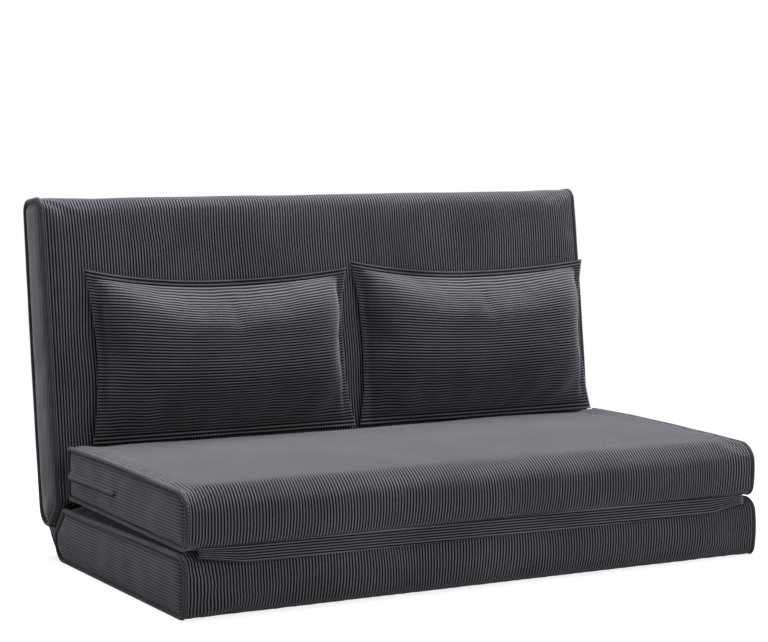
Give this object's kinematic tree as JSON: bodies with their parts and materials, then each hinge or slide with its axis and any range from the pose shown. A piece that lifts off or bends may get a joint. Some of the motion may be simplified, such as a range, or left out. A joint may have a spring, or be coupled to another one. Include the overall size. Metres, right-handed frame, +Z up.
{
  "type": "floor sofa bed",
  "caption": "Legless floor sofa bed in charcoal corduroy: a seat that folds out forwards on a base, a back that reclines flat on ratchet hinges, and loose lumbar pillows.",
  "frame": {"origin": "centre of the base's underside, on the floor", "axes": "+X to the sitter's left across the width, -Y towards the front, +Z up"},
  "size_m": [1.2154, 0.7538, 0.6901],
  "materials": {
    "corduroy": "matte ribbed corduroy",
    "pillow_corduroy": "matte ribbed corduroy",
    "piping": "matte woven",
    "underside_cloth": "matte non-slip cloth",
    "zip_tape": "matte woven tape",
    "foam": "open-cell foam",
    "filling": "loose fibre",
    "painted_steel": "powder coated",
    "zinc_steel": "zinc plated",
    "spring_steel": "blued",
    "zip_metal": "painted zinc"
  },
  "bodies": {
    "base": {"base_cover": "corduroy", "base_side_left": "corduroy", "base_side_right": "corduroy", "base_piping_left": "piping", "base_piping_right": "piping", "underside_panel": "underside_cloth", "base_foam_upper": "foam", "base_foam_lower": "foam", "base_frame": "painted_steel", "ratchet_bracket_left": "painted_steel", "ratchet_bracket_right": "painted_steel", "pivot_rivets": "zinc_steel", "pawl_rivets": "zinc_steel", "pawl_spring_left": "spring_steel", "pawl_spring_right": "spring_steel", "knee_gusset": "corduroy", "crease_gusset": "underside_cloth", "front_hinge_strip": "corduroy"},
    "pawl_left": {"pawl_left": "zinc_steel"},
    "pawl_right": {"pawl_right": "zinc_steel"},
    "seat": {"seat_cover": "corduroy", "seat_side_left": "corduroy", "seat_side_right": "corduroy", "seat_piping_left": "piping", "seat_piping_right": "piping", "seat_foam": "foam", "seat_zip": "zip_tape"},
    "zip_slider": {"zip_slider": "zip_metal"},
    "back": {"back_cover": "corduroy", "back_side_left": "corduroy", "back_side_right": "corduroy", "back_piping_left": "piping", "back_piping_right": "piping", "back_foam_front": "foam", "back_foam_rear": "foam", "back_frame": "painted_steel", "toothed_arm_left": "painted_steel", "toothed_arm_right": "painted_steel"},
    "pillow_left": {"pillow_left_front": "pillow_corduroy", "pillow_left_back": "pillow_corduroy", "pillow_left_filling": "filling"},
    "pillow_right": {"pillow_right_front": "pillow_corduroy", "pillow_right_back": "pillow_corduroy", "pillow_right_filling": "filling"}
  },
  "joints": [
    {"name": "seat_fold", "type": "hinge", "parent": "base", "child": "seat", "pos_m": [0, -0.3153, 0.1123], "axis": [1, 0, 0], "range_deg": [0, 180], "deforming": ["front_hinge_strip"]},
    {"name": "back_recline", "type": "hinge", "parent": "base", "child": "back", "pos_m": [0, 0.315, 0.056], "axis": [-1, 0, 0], "range_deg": [0, 83], "deforming": ["knee_gusset", "crease_gusset"]},
    {"name": "zip_slide", "type": "slide", "parent": "seat", "child": "zip_slider", "axis": [1, 0, 0], "range_m": [0, 0.97]},
    {"name": "pawl_left_lift", "type": "hinge", "parent": "base", "child": "pawl_left", "pos_m": [-0.525, 0.27407, 0.08367], "axis": [1, 0, 0], "range_deg": [0, 8.92], "deforming": ["pawl_spring_left"]},
    {"name": "pawl_right_lift", "type": "hinge", "parent": "base", "child": "pawl_right", "pos_m": [0.525, 0.27407, 0.08367], "axis": [1, 0, 0], "range_deg": [0, 8.92], "deforming": ["pawl_spring_right"]},
    {"name": "pillow_left_lift", "type": "slide", "parent": "back", "child": "pillow_left", "axis": [0, 0.1219, 0.9925], "range_m": [0, 0.3]},
    {"name": "pillow_right_lift", "type": "slide", "parent": "back", "child": "pillow_right", "axis": [0, 0.1219, 0.9925], "range_m": [0, 0.3]}
  ]
}
